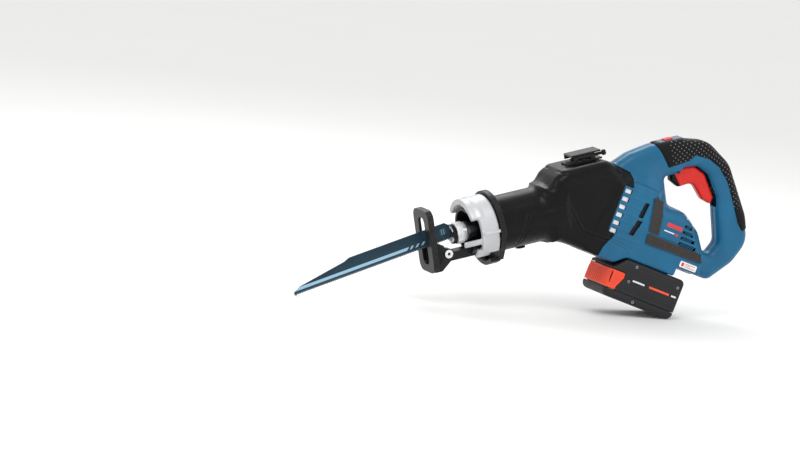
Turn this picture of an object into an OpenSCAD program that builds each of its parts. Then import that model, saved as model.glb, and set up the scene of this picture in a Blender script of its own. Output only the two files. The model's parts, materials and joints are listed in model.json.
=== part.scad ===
// Cordless reciprocating saw with a D-shaped rear handle, a tilting shoe and a slide-on battery pack.
// Each piece is modelled in the tool frame: the barrel axis is X, pointing to the rear, z = 0 is the
// plunger axis and y = 0 the plane of the blade. Pieces of the motor, the body and the pack are given
// in the motor frame, which is the tool frame turned down by motor_drop: m runs along the motor shaft
// and n across it. at_rest() then stands the whole saw on the blade's tip and the pack's heel.

/* [Layout] */
// Angle between the barrel and the motor shaft
motor_drop = 32; // [31.5:0.5:32.5]
// Distance from the nose flange back to the crank axis
crank_x = 154; // [153:0.5:155]
// Stroke of the blade
stroke = 32; // [24:1:32]

/* [Barrel and nose] */
// Radius of the barrel over its rubber boot
barrel_r = 39; // [38.5:0.25:39.5]
// Thickness of the rubber boot
boot_t = 2.5; // [2:0.25:3]
// Half width of the nose flange
flange_r = 50; // [49:0.5:51]
// Thickness of the nose flange
flange_t = 8; // [7:0.5:8]
// Outer radius of the blade release lever
lever_r = 46; // [45:0.5:46]

/* [Body and handle] */
// Half width of the motor body
body_half = 37; // [36.5:0.25:37.5]
// Half width of the handle
loop_half = 18; // [17:0.5:19]
// Wall thickness of the moulded housing
wall = 2.5; // [2:0.25:3]
// How far the rubber pads and the grip stand out
rubber_t = 1.5; // [1:0.25:2]

/* [Blade] */
// Width of the blade
blade_w = 25; // [19:1:25]
// Thickness of the blade
blade_t = 1.25; // [0.9:0.05:1.6]
// Angle that the blade leans down from the barrel
blade_lean = 6.5; // [5:0.5:8]
// Free length of the blade in front of the chuck
blade_reach = 247; // [200:1:250]
// Spacing of the teeth
tooth_pitch = 3; // [2.5:0.5:5]

/* [Shoe] */
// Height of the shoe plate
shoe_h = 90; // [84:1:92]
// Width of the shoe plate
shoe_w = 50; // [46:1:52]
// Height of the slot for the blade
shoe_slot_h = 68; // [66:1:70]
// Width of the slot for the blade
shoe_slot_w = 20; // [18:0.5:22]
// Front face of the shoe plate
shoe_x = -98; // [-99:0.5:-93]

/* [Battery pack] */
// Length of the pack
pack_l = 118; // [116:1:118]
// Half width of the pack
pack_half = 38; // [37:0.5:38.5]
// Height of the pack under its rails
pack_h = 60; // [58:1:62]
// Radius of the pack's lower edges
pack_edge_r = 9; // [7:0.5:10]

/* [Hidden] */
$fn = 64;
// Flat steps to a rounded corner of an outline
corner_steps = 6;
// Running gap between pieces that move past each other
run_gap = 0.05;
// Visible gap between neighbouring mouldings
gap = 0.3;

BLUE = [0.13, 0.38, 0.58];
BLACK = [0.07, 0.07, 0.08];
PAD_GREY = [0.22, 0.22, 0.23];
RED = [0.85, 0.13, 0.08];
ORANGE = [0.95, 0.22, 0.08];
SILVER = [0.78, 0.79, 0.80];
STEEL = [0.62, 0.63, 0.65];
ALUMINIUM = [0.82, 0.83, 0.84];
PACK_GREY = [0.27, 0.27, 0.28];

// ---- Outlines -------------------------------------------------------------------------------

function unit(v) = v / norm(v);

// Point of the motor frame, in the tool frame's XZ plane
function mn(m, n) = [m * cos(motor_drop) + n * sin(motor_drop),
                     n * cos(motor_drop) - m * sin(motor_drop)];

// Arc that rounds corner b, between its neighbours a and c, to radius b.z
function corner_arc(a, b, c) =
    let (p = [b.x, b.y], r = b.z,
         u = unit([a.x, a.y] - p), v = unit([c.x, c.y] - p),
         half = acos(max(-1, min(1, u * v))) / 2,
         hub = p + unit(u + v) * r / sin(half),
         s = p + u * r / tan(half) - hub, e = p + v * r / tan(half) - hub,
         a0 = atan2(s.y, s.x), turn = atan2(s.x * e.y - s.y * e.x, s * e))
    [for (i = [0:corner_steps])
        hub + r * [cos(a0 + turn * i / corner_steps), sin(a0 + turn * i / corner_steps)]];

// Outline with each corner [x, y, radius] rounded; a radius of 0 stays sharp
function rounded(corners) =
    let (n = len(corners))
    [for (i = [0:n - 1])
        each corners[i].z > 0
            ? corner_arc(corners[(i + n - 1) % n], corners[i], corners[(i + 1) % n])
            : [[corners[i].x, corners[i].y]]];

// A motor-frame corner with its radius, turned into the tool frame
function mnr(m, n, r) = [mn(m, n).x, mn(m, n).y, r];

// Rectangle centred on the origin with rounded corners
function slab(w, h, r) = rounded([
    [-w / 2, -h / 2, r], [w / 2, -h / 2, r], [w / 2, h / 2, r], [-w / 2, h / 2, r]]);

// ---- Placing --------------------------------------------------------------------------------

// Extrudes an outline of the XZ plane from y0 to y1
module across(y0, y1) { translate([0, y1, 0]) rotate([90, 0, 0]) linear_extrude(y1 - y0) children(); }

// Extrudes an outline drawn in (y, z) from x0 to x1
module along(x0, x1) { translate([x0, 0, 0]) rotate([90, 0, 90]) linear_extrude(x1 - x0) children(); }

module rod_x(x0, x1, r) { translate([x0, 0, 0]) rotate([0, 90, 0]) cylinder(r = r, h = x1 - x0); }
module rod_y(y0, y1, r) { translate([0, y1, 0]) rotate([90, 0, 0]) cylinder(r = r, h = y1 - y0); }
module tube_x(x0, x1, r_out, r_in) { difference() { rod_x(x0, x1, r_out); rod_x(x0 - 1, x1 + 1, r_in); } }
module in_motor() { rotate([0, motor_drop, 0]) children(); }
// Puts children on the motor shaft's axis, m measured from the crank
module on_shaft() { translate([crank_x, 0, 0]) in_motor() children(); }
module far_side() { mirror([0, 1, 0]) children(); }

// ---- Resting pose and derived sizes ---------------------------------------------------------

blade_x = -56;
// Height of the blade's back over the plunger axis
blade_back = 19;
blade_tip_r = 1.5;
// Centre of the rounding at the blade's tip, beside the first tooth
blade_tip = [blade_x, 0] + (blade_reach - 2.83) * [-cos(blade_lean), -sin(blade_lean)]
    + (blade_back - blade_w + blade_tip_r) * [-sin(blade_lean), cos(blade_lean)];
pack_m0 = 190;
pack_top = 29.6;
pack_floor = pack_top - pack_h;
heel = mn(pack_m0 + pack_l - pack_edge_r, pack_floor + pack_edge_r);
span = heel - blade_tip;
// Tilt that brings the blade's tip and the pack's rear edge to one level
rest_tilt = -atan2(span.y, span.x) + asin((pack_edge_r - blade_tip_r) / norm(span));
// Height of the tool's origin over the floor, and its place along the saw
floor_z = pack_edge_r - (heel.x * sin(rest_tilt) + heel.y * cos(rest_tilt));
origin_x = 61.926;

// Rounding of the gear case's long edges
soft_r = 14;
half_stroke = stroke / 2;
plunger_r = 9;
crank_r = half_stroke;
stator_r = 28;
shaft_r = 4;
bearing_r = 11;
nose_x0 = -34;
post_z = -29;
post_half = 9;
post_half_h = 6.2;
shoe_pivot = [-72, -21];
lock_x = 46;
hook_screws_x = [134, 178];

module at_rest() { translate([-origin_x, 0, floor_z]) rotate([0, -rest_tilt, 0]) children(); }

// Motor body seen from the side, in the motor frame
body_outline = rounded([
    [161.3, 17, 1], [189, 17, 6], [206, 30, 6], [287, 30, 3], [287, 43.5, 2], [325, 43.5, 3],
    [321, 61, 5], [312, 75, 6], [291, 108, 16], [268, 120, 14], [238, 117, 8], [225, 124, 4],
    [222, 137, 5], [175.3, 137, 1], [175.3, 125, 1], [161.3, 125, 1], [161.3, 57, 1], [174.3, 54, 1],
    [163.3, 32, 2]]);
// Neck, handle and lower beam seen from the side
loop_outline = rounded([
    [216, 8, 1], mnr(175.3, 125, 1), mnr(174.3, 136, 1), mnr(169.3, 143, 1), mnr(138.3, 145, 1),
    [204, 47, 3], [228, 56, 30], [262, 61, 60], [300, 61, 60], [350, 47, 34], [378, 8, 40],
    [393, -70, 50], [392, -110, 34], [364, -134, 40], [322, -151, 12], mnr(283, 43.5, 1),
    mnr(283, 60, 1)]);
// Hand opening of the handle
opening_outline = rounded([
    [274.5, 11.5, 5], [301, 11, 3], [308, 17.5, 3], [327, 15.5, 8], [342, 1, 12], [351, -36, 6],
    [349, -50, 6], [345.5, -100, 14], [322, -119, 8], [317.5, -78, 26], [300, -47, 10], [274.5, -29, 8]]);
// Gear case seen from the side, run on into the motor body
case_outline = rounded([
    [90, 39, 14], [101, 52, 14], [116, 60, 12], [186, 60, 26], mnr(138, 145, 1), mnr(169, 150, 1),
    mnr(190, 125, 1), mnr(190, 16.5, 1), mnr(129, 16.5, 8), [94, -39, 12], [84, -39, 1], [84, 39, 1]]);
// What of it lies in front of the joint between boot and motor body
boot_zone = [
    [-10, 120], [189, 75], mn(138, 144.7), mn(168.8, 142.7), mn(173.8, 136), mn(174.8, 125.3),
    mn(160.9, 125.3), mn(160.9, 56.7), mn(173.3, 53.8), mn(162.9, 32), mn(160.4, 12), [110, -120],
    [-10, -120]];

// ---- Blade, chuck and plunger ---------------------------------------------------------------

// Blade, drawn with b running forward from the chuck and w up from the plunger axis
module blade() {
    edge = blade_back - blade_w;
    nose_b = blade_reach - 92;
    gullet = 1.5;
    teeth = floor((blade_reach - 10) / tooth_pitch);
    tang = [[6, edge], [0, -4], [-18, -4], [-18, 4], [0, 4], [0, 14], [6, blade_back]];
    nose = rounded([
        [nose_b, blade_back, 0], [nose_b + 8, blade_back - 3.2, 0], [blade_reach - 11, edge + 10, 8],
        [blade_reach + 0.5, edge + 4, 3.5], [blade_reach - 2, edge, blade_tip_r],
        [blade_reach - 3.5, edge, 0]]);
    color("steelblue") at_rest() translate([blade_x, 0, 0]) rotate([0, -blade_lean, 0]) mirror([1, 0, 0])
        across(-blade_t / 2, blade_t / 2) difference() {
            polygon(concat(tang, nose, [for (i = [0:teeth - 1], s = [0:1])
                [blade_reach - 4 - (i + s / 2) * tooth_pitch, edge + s * gullet]]));
            translate([-13, 0]) circle(r = 1.6);
        }
}

module chuck_body() {
    color(STEEL) at_rest() difference() {
        union() {
            rod_x(-56, -20, 11.5);
            rod_x(-34.5, -30.5, 13);
        }
        translate([-60, -blade_t / 2 - 0.3, -8.5]) cube([24, blade_t + 0.6, 17]);
        rod_x(-36, 0, 6);
    }
}

module plunger() {
    color(STEEL) at_rest() union() {
        rod_x(-36, -20, 6);
        rod_x(-20, crank_x - 21, plunger_r);
    }
}

// Slotted crosshead that turns the crank pin's circle into the stroke
module yoke() {
    color(STEEL) at_rest() translate([crank_x, 0, 0]) difference() {
        translate([-12, -8, -25]) cube([20, 12, 50]);
        translate([-5, -9, -20.5]) cube([10, 14, 41]);
    }
    color(STEEL) at_rest() translate([crank_x - 21, -2, 0]) rod_x(0, 9, 6);
}

module chuck_sleeve() {
    color("white") at_rest() difference() {
        union() {
            tube_x(-51, -37, 15.5, 11.5 + run_gap);
            tube_x(-54, -51, 13.5, 11.5 + run_gap);
        }
        for (a = [0:45:315]) rotate([a, 0, 0]) translate([-50, 15, -1.2]) cube([10, 2, 2.4]);
        rotate([70, 0, 0]) translate([-41, 0, 0]) cylinder(r = 2, h = 20);
    }
}

module chuck_pin() {
    color(SILVER) at_rest() rotate([70, 0, 0]) translate([-41, 0, 12.2]) cylinder(r = 1.9, h = 9);
}

module chuck_ring() { color(BLACK) at_rest() tube_x(-56, -54.2, 14, 11.5); }

// ---- Nose -----------------------------------------------------------------------------------

// Sector of a ring about the barrel axis, from a0 to a1 counted from the near side upward
module ring_sector(r_out, r_in, a0, a1) {
    polygon(concat(
        [for (i = [0:24]) let (a = a0 + (a1 - a0) * i / 24) r_out * [-cos(a), sin(a)]],
        [for (i = [24:-1:0]) let (a = a0 + (a1 - a0) * i / 24) r_in * [-cos(a), sin(a)]]));
}

module release_lever() {
    lever_in = 36.2;
    color(SILVER) at_rest() union() {
        along(-26, -0.4) ring_sector(lever_r, lever_in, -38, 150);
        along(-38, -26) ring_sector(lever_r, lever_in, 28, 150);
        along(-33, -12) ring_sector(lever_r - 2, lever_in, -52, -38);
        along(-52, -26) ring_sector(lever_r - 6, lever_in, -22, -10);
        along(-24, -0.4) ring_sector(flange_r - 0.5, lever_in, -2, 5);
    }
}

module lever_spring() {
    color(STEEL) at_rest() for (k = [0:2])
        translate([-4.5 - 2.6 * k, 0, 0]) rotate([0, 90, 0])
            rotate([0, 0, 20]) rotate_extrude(angle = 320) translate([34.6, 0]) circle(r = 1);
}

module nose_flange() {
    color(BLACK) at_rest() difference() {
        along(0, flange_t) union() {
            translate([0, 2]) circle(r = flange_r - 2);
            polygon(slab(2 * flange_r, 30, 15));
            polygon([[-44, -18], [-24, -46], [24, -46], [44, -18]]);
            translate([0, -32]) circle(r = 22);
        }
        rod_x(-1, flange_t + 1, 33);
        translate([-1, -post_half - gap, post_z - 8]) cube([flange_t + 2, 2 * (post_half + gap), 20]);
    }
    // lip that guards the fingers under the lever
    color(BLACK) at_rest() along(-13, 0.5) ring_sector(flange_r + 3.5, flange_r - 2.5, -122, -58);
}

module nose_sleeve() {
    color(BLACK) at_rest() difference() {
        tube_x(nose_x0, 20, 33 - run_gap, 29);
        translate([nose_x0 - 1, -post_half - 1, -40]) cube([56, 2 * (post_half + 1), 24]);
        translate([nose_x0 - 1, -40, -12]) cube([16, 30, 40]);
    }
}

module work_light() {
    color("lightyellow") at_rest() translate([0, 19.5, -36.5]) union() {
        rod_x(-2.5, 0, 3);
        rod_x(-4, -2.5, 2.2);
    }
}

module front_bush() { color("peru") at_rest() tube_x(20, 40, 13, plunger_r + run_gap); }
module rear_bush() { color("peru") at_rest() tube_x(78, 98, 13, plunger_r + run_gap); }

// ---- Gear case and boot ---------------------------------------------------------------------

// Outline's solid up to y_half on both sides, its long edges stepped off within radius soft_r
module cushion(y_half, inset) {
    for (a = [0:30:90]) across(soft_r * (1 - sin(a)) - y_half, y_half - soft_r * (1 - sin(a)))
        offset(r = soft_r * (cos(a) - 1) - inset) polygon(case_outline);
}

// Solid inside the boot, drawn in by inset: the barrel, then the deeper rear block
module case_block(inset, x0, cut_back) {
    intersection() {
        union() {
            rod_x(x0, 92, barrel_r - inset);
            cushion(barrel_r - 1 - inset, inset);
        }
        across(-60, 60) offset(delta = -cut_back) polygon(boot_zone);
    }
}

module nose_boot() {
    color(BLACK) at_rest() difference() {
        case_block(0, flange_t, 0);
        // open at both ends
        rod_x(flange_t - 1, 92 + gap, barrel_r - boot_t);
        cushion(barrel_r - 1 - boot_t, boot_t);
        translate([lock_x, 0, -barrel_r - 2]) cylinder(r = 5 + gap, h = 6);
        // the hook's feet reach the casting through the boot
        for (x = hook_screws_x) translate([x, 0, 45]) cylinder(r = 5, h = 30);
    }
}

module gear_case() {
    color(ALUMINIUM) at_rest() difference() {
        union() {
            difference() {
                case_block(boot_t + gap, flange_t, gap);
                // crank room, open to the rear for the motor
                across(-14, 30) polygon(rounded([[104, -43, 6], [104, 40, 6], [126, 50, 6], [186, 50, 6],
                    [230, 10, 2], [230, -40, 2], [161, -68, 6], [126, -56, 6]]));
            }
            for (x = [20, 78]) tube_x(x, x + 20, 17, 13);
            // seat of the crank bearing
            translate([crank_x, 0, 0]) rod_y(22, 32, bearing_r + 5);
        }
        // bore of the barrel between the two bushes
        rod_x(0, 20, 33);
        rod_x(19, 79, 13);
        rod_x(70, 110, 13);
        // slideway of the shoe post
        translate([0, -post_half - run_gap, post_z - post_half_h - run_gap])
            cube([76, 2 * (post_half + run_gap), 2 * (post_half_h + run_gap)]);
        // relief under the neck of the handle
        in_motor() translate([152, -60, 116]) cube([60, 120, 60]);
        translate([crank_x, 0, 0]) {
            rod_y(23, 40, bearing_r);
            rod_y(20, 30, 6.5);
        }
        for (x = hook_screws_x) translate([x, 0, 40]) cylinder(r = 1.7, h = 30);
    }
}

// ---- Shoe -----------------------------------------------------------------------------------

// Plate with its rim folded back, and two cheeks that carry it on the post's cross screw
module shoe_plate() {
    plate_t = 4;
    rim = 9;
    cheek = 11;
    cheek_y = post_half + 0.1;
    cheek_outline = rounded([
        [shoe_x + 2, -44, 2], [shoe_x + 2, 3, 2], [shoe_x + 9, 0, 3],
        [shoe_pivot.x - 3, shoe_pivot.y + 8.5, 6], [shoe_pivot.x + 8, shoe_pivot.y + 5, 6],
        [shoe_pivot.x + 8, shoe_pivot.y - 7, 6], [shoe_x + 14, -44, 4]]);
    color(BLACK) at_rest() difference() {
        union() {
            difference() {
                along(shoe_x, shoe_x + rim) polygon(slab(shoe_w, shoe_h, 12));
                along(shoe_x + plate_t, shoe_x + rim + 1) polygon(slab(shoe_w - 6, shoe_h - 6, 9));
            }
            across(cheek_y, cheek_y + cheek) polygon(cheek_outline);
            across(-cheek_y - cheek, -cheek_y) polygon(cheek_outline);
        }
        along(shoe_x - 1, shoe_x + plate_t + 1) polygon(slab(shoe_slot_w, shoe_slot_h, 8));
        translate([shoe_pivot.x, 0, shoe_pivot.y]) rod_y(-30, 30, 3 + run_gap);
    }
}

module shoe_screw() {
    head_y = post_half + 11.2;
    color(SILVER) at_rest() translate([shoe_pivot.x, 0, shoe_pivot.y]) difference() {
        union() {
            rod_y(-head_y - 1, head_y + 1, 3);
            rod_y(-head_y - 2.8, -head_y, 6);
            rod_y(head_y, head_y + 2.8, 6);
        }
        rotate([90, 0, 0]) translate([0, 0, head_y]) cylinder(r = 2.4, h = 5, $fn = 6);
    }
}

module shoe_post() {
    eye = rounded([
        [-66, post_z - post_half_h, 0], [-58, post_z + post_half_h, 0], [shoe_pivot.x, shoe_pivot.y + 8, 6],
        [shoe_pivot.x - 8, shoe_pivot.y, 6], [shoe_pivot.x, shoe_pivot.y - 9, 6]]);
    color(BLACK) at_rest() difference() {
        union() {
            translate([-66, -post_half, post_z - post_half_h]) cube([122, 2 * post_half, 2 * post_half_h]);
            across(-post_half, post_half) polygon(eye);
        }
        translate([shoe_pivot.x, 0, shoe_pivot.y]) rod_y(-30, 30, 3 + run_gap);
        // locking notches along the underside
        for (k = [0:3]) translate([18 + 8 * k, -20, post_z - post_half_h - 1]) cube([4, 40, 3]);
    }
}

module shoe_lock() {
    color(BLACK) at_rest() translate([lock_x, 0, -barrel_r]) union() {
        translate([0, 0, -2]) cylinder(r = 5, h = 2.8);
        translate([0, 0, -3]) cylinder(r = 7, h = 1.7);
    }
}

// ---- Crank ----------------------------------------------------------------------------------

gear_teeth = 45;
pinion_teeth = 9;
gear_face_y = 7;

module crank_gear() {
    color(STEEL) at_rest() translate([crank_x, 0, 0]) union() {
        difference() {
            rod_y(gear_face_y + 2, gear_face_y + 6, 37);
            rod_y(0, 20, 6);
        }
        for (i = [0:gear_teeth - 1]) rotate([0, 360 * (i + 0.5) / gear_teeth, 0])
            translate([0, gear_face_y + 5.95, 0]) rotate([90, 0, 0]) linear_extrude(3.9)
                polygon([[30, -0.85], [36.5, -1.05], [36.5, 1.05], [30, 0.85]]);
    }
}

module crank_shaft() {
    color(STEEL) at_rest() translate([crank_x, 0, 0]) union() {
        rod_y(gear_face_y + 2, 31.5, 6);
        rod_y(gear_face_y + 12, gear_face_y + 14.5, 8);
    }
}

module crank_pin() {
    color(STEEL) at_rest() translate([crank_x, 0, crank_r]) rod_y(4.3, gear_face_y + 2, 4.5);
}

module counterweight() {
    color(STEEL) at_rest() translate([crank_x, 0, 0]) across(gear_face_y + 6, gear_face_y + 11)
        polygon(concat([for (a = [200:10:340]) 32 * [cos(a), sin(a)]],
                       [for (a = [340:-10:200]) 9 * [cos(a), sin(a)]]));
}

module crank_bearing() {
    color(SILVER) at_rest() translate([crank_x, 0, 0]) difference() {
        rod_y(23, 31, bearing_r);
        rod_y(22, 32, 6 + run_gap);
    }
}

// ---- Motor ----------------------------------------------------------------------------------

module drive_pinion() {
    color(STEEL) at_rest() on_shaft() along(33, 43) difference() {
        union() {
            circle(r = 5);
            for (i = [0:pinion_teeth - 1]) rotate(360 * i / pinion_teeth)
                polygon([[4.6, -1.2], [7.2, -0.45], [7.2, 0.45], [4.6, 1.2]]);
        }
        circle(r = shaft_r);
    }
}

module motor_shaft() { color(STEEL) at_rest() on_shaft() rod_x(33, 166, shaft_r); }

module rotor_core() {
    color(STEEL) at_rest() on_shaft() difference() {
        tube_x(86, 132, 15, shaft_r);
        for (a = [0:60:300]) rotate([a, 0, 0]) translate([80, 12, -3]) cube([60, 2, 6]);
    }
}

module cooling_fan() {
    color(BLACK) at_rest() on_shaft() union() {
        tube_x(64, 66, 27, shaft_r);
        tube_x(66, 76, 9, shaft_r);
        for (a = [0:30:330]) rotate([a, 0, 0]) translate([65, 8, -0.8]) cube([10, 18, 1.6]);
    }
}

module stator() {
    color(STEEL) at_rest() on_shaft() difference() {
        union() {
            tube_x(88, 130, stator_r, 15.5);
            tube_x(80, 138, stator_r - 4, 18);
        }
        for (a = [0:60:300]) rotate([a, 0, 0]) translate([70, -2, 14]) cube([80, 4, 3.6]);
    }
}

module motor_bearing(m) {
    color(SILVER) at_rest() on_shaft() tube_x(m, m + 7, bearing_r, shaft_r + run_gap);
}
module front_bearing() { motor_bearing(50); }
module rear_bearing() { motor_bearing(150); }

// Circuit board with its power switches and capacitor
module controller() {
    color("darkgreen") at_rest() in_motor() union() {
        translate([214, -26, 46]) cube([68, 52, 1.6]);
        for (k = [0:2]) translate([222 + 14 * k, 10, 47.5]) cube([9, 11, 3.5]);
        translate([230, -16, 51.6]) rotate([0, 90, 0]) cylinder(r = 4, h = 18);
    }
}

module terminal_block() {
    color(BLACK) at_rest() in_motor() difference() {
        translate([214, -16, 38.5]) cube([30, 32, 7.4]);
        for (y = [-12, -4, 4, 12]) translate([220, y - 1.5, 36]) cube([40, 3, 6]);
    }
}

// ---- Housing --------------------------------------------------------------------------------

vent_n = [for (i = [0:5]) 59 + 11.8 * i];
trigger_half = 8.5;
trigger_pivot = [296, 15];
bezel = [276, 312, 9];
rail_half = 24;
stem_half = 20;
// Screws through the deep body and through the handle, seen from the side
body_screws = [mn(191, 38), mn(191, 118), mn(298, 52), mn(277, 112)];
loop_screws = [[236, 46], [334, 44], [378, -40], [352, -131]];

module loop_profile() {
    difference() {
        polygon(loop_outline);
        polygon(opening_outline);
    }
}

// One half of the housing as a solid, y from 0 to the far side, drawn in by inset
module half_solid(inset) {
    y0 = inset > 0 ? -1 : 0;
    intersection() {
        in_motor() across(y0, body_half - inset) offset(delta = -inset) polygon(body_outline);
        in_motor() along(100, 400) translate([0, 85])
            polygon(slab(2 * (body_half - inset), 105 - 2 * inset, 12));
    }
    // foot under the rounded body
    intersection() {
        in_motor() across(y0, body_half - inset) offset(delta = -inset) polygon(body_outline);
        in_motor() translate([150, -50, 0]) cube([200, 100, 60]);
    }
    across(y0, loop_half - inset) offset(delta = -inset) loop_profile();
}

module screw_row(points, half) {
    for (p = points) translate([p.x, 0, p.y]) {
        rod_y(half - 4.4, half - 2, 3.2);
        rod_y(8 - half, half - 4.4, 1.7);
    }
}

module housing_half() {
    difference() {
        union() {
            difference() {
                half_solid(0);
                half_solid(wall);
            }
            intersection() {
                half_solid(0);
                union() {
                    for (p = body_screws) translate([p.x, 0, p.y]) rod_y(0, body_half, 4.2);
                    for (p = loop_screws) translate([p.x, 0, p.y]) rod_y(0, loop_half, 4.2);
                    in_motor() difference() {
                        for (m = [181.5, 222, 250, 281.5]) translate([m, 0, 38]) cube([4, 40, 90]);
                        translate([212, -30, 38]) cube([72, 60, 15]);
                    }
                    // roof and side of the rail channel
                    in_motor() translate([208, 0, 37.3]) cube([78, 34, 1.1]);
                    in_motor() translate([208, rail_half + 0.5, 31]) cube([78, 2, 7]);
                    translate([358.5, 0, -32]) cube([2.5, 17, 16]);
                }
            }
        }
        on_shaft() rod_x(30, 170, shaft_r + 1);
        on_shaft() rod_x(50, 57, bearing_r);
        on_shaft() rod_x(150, 157, bearing_r);
        on_shaft() rod_x(60, 140, stator_r);
        in_motor() {
            // way in for the crank room, and the six cooling windows beside it
            translate([160, -1, 34]) cube([8, 31, 88]);
            for (n = vent_n) translate([164.5, body_half - 6, n - 3.5]) cube([10.5, 10, 7]);
            across(body_half - 6, body_half + 4) {
                polygon([[199, 90], [206.5, 90], [208.5, 112], [202, 112]]);
                polygon([[194.5, 62], [202, 62], [208, 85], [200, 85]]);
                for (k = [0:3]) translate([274, 99 - 8.4 * k]) square([14 + 5 * k, 4.4]);
            }
            translate([212, -1, 32.6]) cube([90, rail_half + 1.5, 4.65]);
            translate([212, -1, 28]) cube([90, stem_half + 1.3, 5]);
        }
        // well of the trigger
        across(-1, trigger_half + 0.6) polygon(rounded([[284, 6, 1], [284, 22, 4], [300, 28, 4],
            [330, 27, 8], [354, 2, 8], [361, -30, 4], [357, -49, 4], [338, -49, 2], [326, -8, 8], [300, 4, 2]]));
        translate([trigger_pivot.x, 0, trigger_pivot.y]) rod_y(-1, loop_half - 2, 2);
        translate([bezel[0], -1, 58.3]) cube([bezel[1] - bezel[0], bezel[2] + 1.2, 12]);
        translate([284, -1, 54]) cube([16, 4.4, 5]);
    }
}

module housing_left() {
    color(BLUE) at_rest() difference() {
        far_side() housing_half();
        for (p = body_screws) translate([p.x, 0, p.y]) rod_y(7.5 - body_half, 1, 1.75);
        for (p = loop_screws) translate([p.x, 0, p.y]) rod_y(7.5 - loop_half, 1, 1.75);
    }
}

module housing_right() {
    color(BLUE) at_rest() difference() {
        housing_half();
        for (p = body_screws) translate([p.x, 0, p.y]) {
            rod_y(-1, body_half, 1.75);
            rod_y(body_half - 4.4, body_half + 2, 3.5);
        }
        for (p = loop_screws) translate([p.x, 0, p.y]) {
            rod_y(-1, loop_half, 1.75);
            rod_y(loop_half - 4.4, loop_half + 2, 3.5);
        }
    }
}

module housing_screws() {
    color(STEEL) at_rest() {
        screw_row(body_screws, body_half);
        screw_row(loop_screws, loop_half);
    }
}

// ---- Rubber overmoulds ----------------------------------------------------------------------

module grip_half() {
    grip_zone = [[264, 80], [269, 58], [274, 46], [281, 25], [315, 28], [325, 34], [346, 23],
        [359, 9], [369, -15], [373, -42], [377, -78], [382, -91], [410, -91], [410, 80]];
    difference() {
        across(0, loop_half + rubber_t) intersection() {
            offset(delta = rubber_t) loop_profile();
            polygon(grip_zone);
        }
        across(-1, loop_half) loop_profile();
        translate([bezel[0] - gap, -1, 50])
            cube([bezel[1] - bezel[0] + 2 * gap, bezel[2] + 1.2 + gap, 20]);
        across(loop_half - 3, loop_half + 9) polygon(opening_outline);
        for (p = loop_screws) translate([p.x, 0, p.y]) rod_y(loop_half - 2, loop_half + 9, 3.5);
    }
}

module grip_left() { color(BLACK) at_rest() far_side() grip_half(); }
module grip_right() { color(BLACK) at_rest() grip_half(); }

module side_pads() {
    in_motor() across(body_half, body_half + rubber_t) {
        polygon(rounded([[212, 123, 1], [226, 123, 1], [233, 103, 2], [238, 76, 1], [223, 76, 1]]));
        polygon(rounded([[222, 73, 1], [313, 73, 1], [319, 61, 1], [225, 59, 1]]));
    }
}

module side_pad_left() { color(PAD_GREY) at_rest() far_side() side_pads(); }
module side_pad_right() { color(PAD_GREY) at_rest() side_pads(); }

module rating_label() {
    color("white") at_rest() in_motor() for (side = [-1, 1])
        translate([301.5, side * (body_half + 0.15), 50.5]) rotate([90, 0, 0])
            translate([0, 0, -0.15]) linear_extrude(0.3) polygon(slab(28, 9, 1.5));
}

// ---- Trigger and slide switch ---------------------------------------------------------------

module trigger() {
    color(RED) at_rest() difference() {
        across(-trigger_half, trigger_half) polygon(rounded([[286, 3, 3], [297, -9, 5], [320, -7, 12],
            [331, -34, 8], [343, -44, 3], [350, -36, 4], [341, 2, 14], [326, 17, 8], [300, 20, 4], [288, 15, 3]]));
        translate([trigger_pivot.x, 0, trigger_pivot.y]) rod_y(-20, 20, 2 + run_gap);
    }
}

module trigger_pin() {
    color(STEEL) at_rest() translate([trigger_pivot.x, 0, trigger_pivot.y])
        rod_y(2 - loop_half, loop_half - 2, 2);
}

module trigger_spring() {
    color(STEEL) at_rest() for (k = [0:3]) translate([351.5 + 2 * k, 0, -26]) rotate([0, 90, 0])
        rotate_extrude() translate([3.4, 0]) circle(r = 0.6);
}

module trigger_switch() {
    color(BLACK) at_rest() union() {
        translate([302, -10, 30]) cube([24, 20, 13]);
        translate([306, -3, 28.2]) cube([6, 6, 2]);
        translate([305, -8, 43]) cube([16, 16, 4]);
    }
}

module slide_button() {
    color(RED) at_rest() union() {
        translate([289, -3, 56]) cube([6, 6, 6]);
        difference() {
            translate([286, -5.5, 61.9]) cube([12, 11, 1.6]);
            for (k = [0:2]) translate([288 + 3 * k, -8, 63.1]) cube([1.2, 16, 2]);
        }
    }
}

module slide_bezel() {
    color([0.35, 0.45, 0.55]) at_rest() difference() {
        translate([bezel[0] + gap / 2, -bezel[2], 58.7])
            cube([bezel[1] - bezel[0] - gap, 2 * bezel[2], 3.1]);
        translate([285.5, -3.2, 50]) cube([13, 6.4, 20]);
    }
}

// ---- Hook -----------------------------------------------------------------------------------

hook_axis = [-8, 67];
hook_lugs = [139, 166];

module hook_base() {
    color(BLACK) at_rest() difference() {
        union() {
            translate([129, -12, 60.1]) cube([54, 22, 2.2]);
            for (x = hook_lugs) {
                translate([x, hook_axis.x, hook_axis.y]) rod_x(0, 7, 3.3);
                translate([x, hook_axis.x - 3.3, 60.1]) cube([7, 6.6, hook_axis.y - 60.1]);
            }
        }
        translate([0, hook_axis.x, hook_axis.y]) rod_x(120, 200, 2.2 + run_gap);
        for (x = hook_screws_x) translate([x, 0, 50]) cylinder(r = 2, h = 30);
        for (x = hook_screws_x) translate([x, 0, 61.2]) cylinder(r1 = 2, r2 = 3.2, h = 1.2);
    }
    color(STEEL) at_rest() for (x = hook_screws_x) translate([x, 0, 0]) {
        translate([0, 0, 48]) cylinder(r = 1.65, h = 13.2);
        translate([0, 0, 61.2]) cylinder(r1 = 1.65, r2 = 2.8, h = 1);
    }
}

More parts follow.
